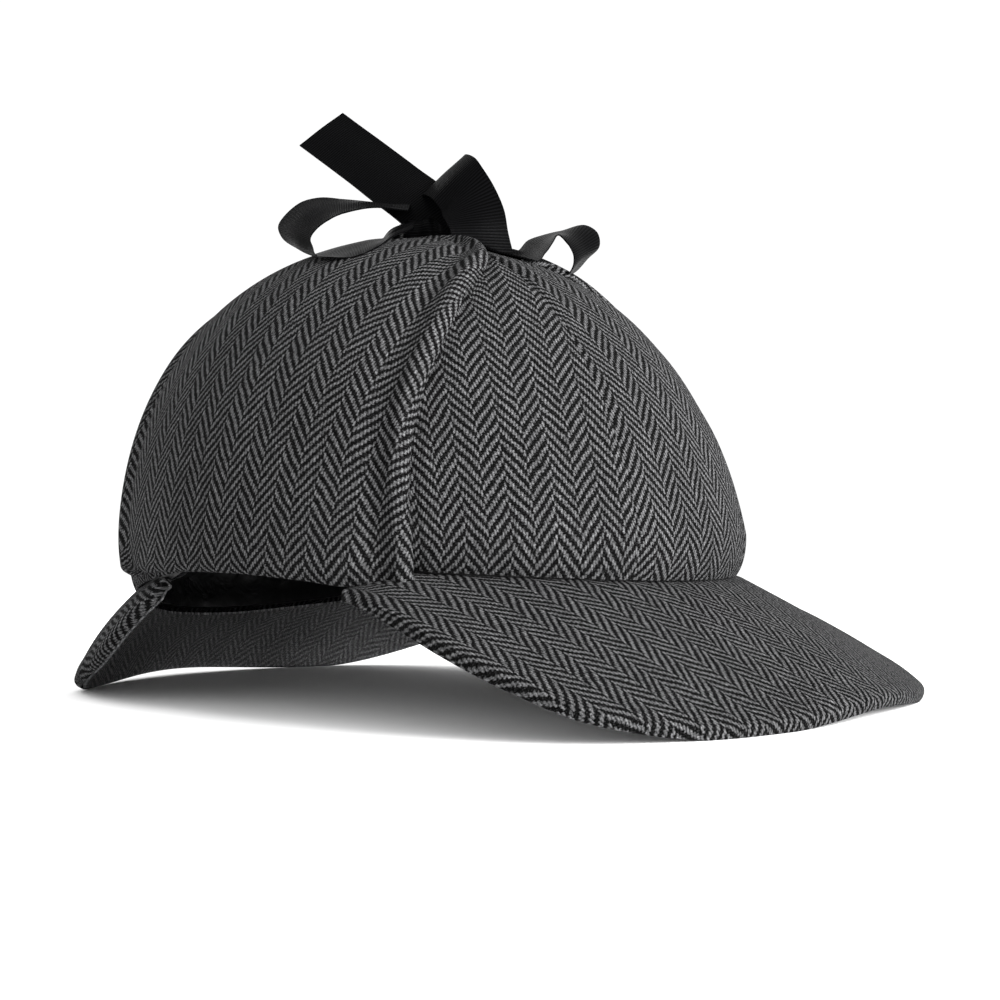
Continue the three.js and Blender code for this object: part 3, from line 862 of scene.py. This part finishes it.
# %% Ribbon strands
BOW_TURN = math.radians(-49.3)
BOW_PLACE = Vector((0, -5, 115))
RIBBON_CLOTH = 0.5
GATHERED = 12
PLY = 1.5
RIBBON_SEAT = 0.5
PLEATS = 5
PLEAT_DEPTH = 1.6
CUP = 0.35
STRANDS = {
    "ribbon_loop_rear": [
        ((-8, -2, 7.5), (1, 14, 6), 15),
        ((-20, -6, 7), (-0.5, 19, 7), RIBBON_WIDTH),
        ((-30.5, -11, 4.5), (-1.5, 17.5, 9.5), RIBBON_WIDTH),
        ((-36, -14, 3), (-4.5, 16, 11.5), RIBBON_WIDTH),
        ((-41, -17, 0), (-7, 14.5, 12), RIBBON_WIDTH),
        ((-45, -20, -5.5), (-11.5, 14.5, 8), RIBBON_WIDTH),
        ((-44, -23, -9.5), (-11, 15, 7), RIBBON_WIDTH),
        ((-41, -27, -13.5), (-8, 17, 7), RIBBON_WIDTH),
        ((-35.5, -31, -16), (-5.5, 18.5, 5.5), RIBBON_WIDTH),
        ((-24, -32, -15), (-2.5, 18.5, 7), RIBBON_WIDTH),
        ((-18.5, -27, -12), (-1.5, 19.5, 5), RIBBON_WIDTH),
        ((-14, -20, -6), (-0.5, 18.5, 7.5), 18),
        ((-7, -8, 0), (1, 14, 6), 14),
    ],
    "ribbon_loop_front": [
        ((9, -6, -3), (1, 13, 4), 14),
        ((20, -13, -10.5), (-4, 17, 7), 18),
        ((29.5, -14, -14), (-5.5, 18, 7.5), RIBBON_WIDTH),
        ((34, -8, -9), (-4.5, 18, 8), RIBBON_WIDTH),
        ((38.5, -4, -5.3), (-1, 19, 7), RIBBON_WIDTH),
        ((42.5, 0, -2.6), (2.5, 19, 6), RIBBON_WIDTH),
        ((48.5, 2, -2.4), (8, 15.5, 10), RIBBON_WIDTH),
        ((51.2, 1, -5), (10.5, 14, 9), RIBBON_WIDTH),
        ((51.7, 0, -9), (10.5, 15, 8), RIBBON_WIDTH),
        ((49.3, -1, -12.5), (7, 17, 7), RIBBON_WIDTH),
        ((45.7, 0, -16), (4, 19, 5), RIBBON_WIDTH),
        ((34, 8, -17), (3, 18, 5), RIBBON_WIDTH),
        ((20, 8, -9), (3, 17, 5), 17),
        ((9, 5, -4), (1, 11, 3.5), GATHERED),
    ],
    "ribbon_loop_upright": [
        ((16.5, -14, -12.5), (19, 5, 0), RIBBON_WIDTH),
        ((15, -13.5, -5.5), (19, 6, 1), RIBBON_WIDTH),
        ((13.5, -12.5, 0.5), (18.5, 2, 4), RIBBON_WIDTH),
        ((11.5, -11, 6), (16.5, 1, 10), RIBBON_WIDTH),
        ((9.3, -9, 11.2), (14, 0, 14.5), RIBBON_WIDTH),
        ((7, -6.5, 15.2), (14.5, 0, 13.5), RIBBON_WIDTH),
        ((4, 0, 18.5), (14.5, 0, 13.5), RIBBON_WIDTH),
        ((4, 4, 18), (15, 0, 14), RIBBON_WIDTH),
        ((5, 5.5, 13), (13, 4, 11.5), 18),
        ((4, 6, 6), (7, 5, 7), GATHERED),
    ],
    "ribbon_tail": [
        ((8, -1, -5), (13, 3, 13), 18),
        ((-3.4, 1.5, 7.7), (15.5, 3, 12.5), RIBBON_WIDTH),
        ((-13.8, 10, 18.8), (15.5, 3, 12.5), RIBBON_WIDTH),
        ((-24.4, 17, 29.7), (15.5, 3, 12.5), RIBBON_WIDTH),
        ((-39, 25, 43.6), (15.5, 2.5, 12.5), RIBBON_WIDTH),
    ],
}


def on_hat(point):
    """From the bow's own frame to the hat's."""
    turned = Vector(point)
    turned.rotate(Euler((0, 0, BOW_TURN)))
    return turned + BOW_PLACE


def clear(point):
    """Lifts a point of the ribbon out of the crown, and out of an ear flap where one lies."""
    flap_lift = (FLAP_GAP + FLAP_CLOTH) * ease(over_flap(point.x, point.y), -2, 1)
    return max(point.z, dome_height(point.x, point.y) + flap_lift + RIBBON_SEAT)


def strand(name, rows):
    mids = [Vector(row[0]) for row in rows]
    runs = [Vector(row[1]).normalized() * row[2] / 2 for row in rows]
    climb = run_lengths(lambda t: spline(mids, t), 24 * (len(rows) - 1))

    def place(u, v):
        point = on_hat(spline(mids, v) + spline(runs, v) * (2 * u - 1))
        point.z = max(point.z, clear(point) + PLY * (1 - v) * ease(v, 0, 0.2))
        return point

    def thread(u, v):
        return ((u - 0.5) * RIBBON_WIDTH, read(climb, v))

    def relief(u, v, point):
        gather = max(1 - 2 * spline(runs, v).length / RIBBON_WIDTH, 0)
        pleats = PLEAT_DEPTH * gather * math.sin(PLEATS * math.pi * u)
        cup = CUP * math.cos(math.pi * (u - 0.5)) ** 2
        return pleats + cup + RIBBON_CLOTH / 2 + 0.2 * waves(point, 12, 8)

    return lay(name, (20, 8 * (len(rows) - 1)), place, thread, relief, RIBBON_CLOTH), climb[-1]


for node_name, rows in STRANDS.items():
    (piece, area), long = strand(node_name.replace("ribbon", "grosgrain"), rows)
    wear(piece, node_name, BLACK_RIBBON)

# %% [markdown]
# ## The knot
# The knot is the ribbon pulled tight round itself: a small crumpled lump. A sphere squashed to its size,
# with creases that run round it the way the ribbon does, is enough at this size.

# %% Knot
KNOT_MIDDLE = Vector((-3, 4, -1.5))
KNOT_HALVES = Vector((12, 8, 6.5))
CREASES = 9
CREASE_DEPTH = 0.1
LUMPS = 0.12


def knot():
    form = bmesh.new()
    bmesh.ops.create_uvsphere(form, u_segments=64, v_segments=48, radius=1, calc_uvs=False)
    cloth = form.loops.layers.uv.new("cloth")
    for face in form.faces:
        for loop in face.loops:
            turn = math.atan2(loop.vert.co.z, loop.vert.co.y)
            loop[cloth].uv = (loop.vert.co.x * KNOT_HALVES.x, turn * KNOT_HALVES.z)
    for vert in form.verts:
        pinch = CREASE_DEPTH * math.sin(vert.co.x * CREASES) * (1 - vert.co.x**2)
        size = KNOT_HALVES * (1 + pinch + LUMPS * waves(vert.co * 10, 6, 9))
        point = on_hat(KNOT_MIDDLE + Vector(a * b for a, b in zip(vert.co, size)))
        point.z = clear(point)
        vert.co = point
    bmesh.ops.remove_doubles(form, verts=form.verts[:], dist=0.001)
    bmesh.ops.recalc_face_normals(form, faces=form.faces[:])
    return finish_piece("grosgrain_knot", form)


wear(knot(), "ribbon_knot", BLACK_RIBBON)

# %% [markdown]
# ## Floor, light and camera
# The photograph has a white sweep with no line between floor and wall. A pale floor under a bright even
# sky gives that. One large soft lamp stands low at the front, so the front of the crown is lit and the
# near side falls off into shade. A weaker one lights the back, and a small one near the floor reaches the
# underside of the rear peak.

# %% Floor
FLOOR_SIZE = 30

form = bmesh.new()
bmesh.ops.create_grid(form, x_segments=1, y_segments=1, size=FLOOR_SIZE)
floor_mesh = bpy.data.meshes.new("floor")
form.to_mesh(floor_mesh)
form.free()
floor = bpy.data.objects.new("floor", floor_mesh)
bpy.context.scene.collection.objects.link(floor)
paper, tree = new_material("matt white paper")
surface = {"Base Color": colour("#ffffff"), "Roughness": 1.0, "Specular IOR Level": 0.0}
node(tree, "OutputMaterial", {"Surface": node(tree, "BsdfPrincipled", surface)})
floor_mesh.materials.append(paper)
print("the floor is", 2 * FLOOR_SIZE, "m wide")

# %% Light
SKY_STRENGTH = 1.05

world = bpy.data.worlds.new("studio")
bpy.context.scene.world = world
world.use_nodes = True
world.node_tree.nodes["Background"].inputs["Color"].default_value = (1, 1, 1, 1)
world.node_tree.nodes["Background"].inputs["Strength"].default_value = SKY_STRENGTH
bpy.context.scene.view_settings.view_transform = "Standard"


def lamp(name, place, aim, size, power):
    light = bpy.data.lights.new(name, "AREA")
    light.size = size
    light.energy = power
    made = bpy.data.objects.new(name, light)
    made.location = place
    made.rotation_euler = (Vector(aim) - Vector(place)).to_track_quat("-Z", "Y").to_euler()
    bpy.context.scene.collection.objects.link(made)


HAT_MIDDLE = (0, 0, 0.09)
lamp("key", (0.18, -1.95, 0.62), HAT_MIDDLE, 1.1, 124)
lamp("back", (0.2, 1.9, 1.0), HAT_MIDDLE, 1.1, 22)
lamp("fill", (-0.9, -0.75, 0.07), (0, 0.05, 0.03), 0.4, 3.6)

# %% Camera
CAMERA_PLACE = Vector((-348.69, -300.02, -2.24))
CAMERA_RIGHT = Vector((0.6133, -0.7894, -0.0283))
CAMERA_FORWARD = Vector((0.7894, 0.6113, 0.0554))
FOCAL_PIXELS = 1365.6
PHOTO_PIXELS = 1000
SENSOR_WIDTH = 36

camera_data = bpy.data.cameras.new("camera")
camera_data.sensor_width = SENSOR_WIDTH
camera_data.lens = FOCAL_PIXELS / PHOTO_PIXELS * camera_data.sensor_width
camera_data.clip_start = 0.01
camera = bpy.data.objects.new("camera", camera_data)
bpy.context.scene.collection.objects.link(camera)
tilt = Euler((-REST_TILT, 0, 0)).to_matrix()
forward = (tilt @ CAMERA_FORWARD).normalized()
right = (tilt @ CAMERA_RIGHT).normalized()
upward = right.cross(forward).normalized()
right = forward.cross(upward)
turn = Matrix((right, upward, -forward)).transposed()
camera.matrix_world = Matrix.Translation(in_row(CAMERA_PLACE)) @ turn.to_4x4()
bpy.context.scene.camera = camera
print("the camera stands at", camera.location[:])
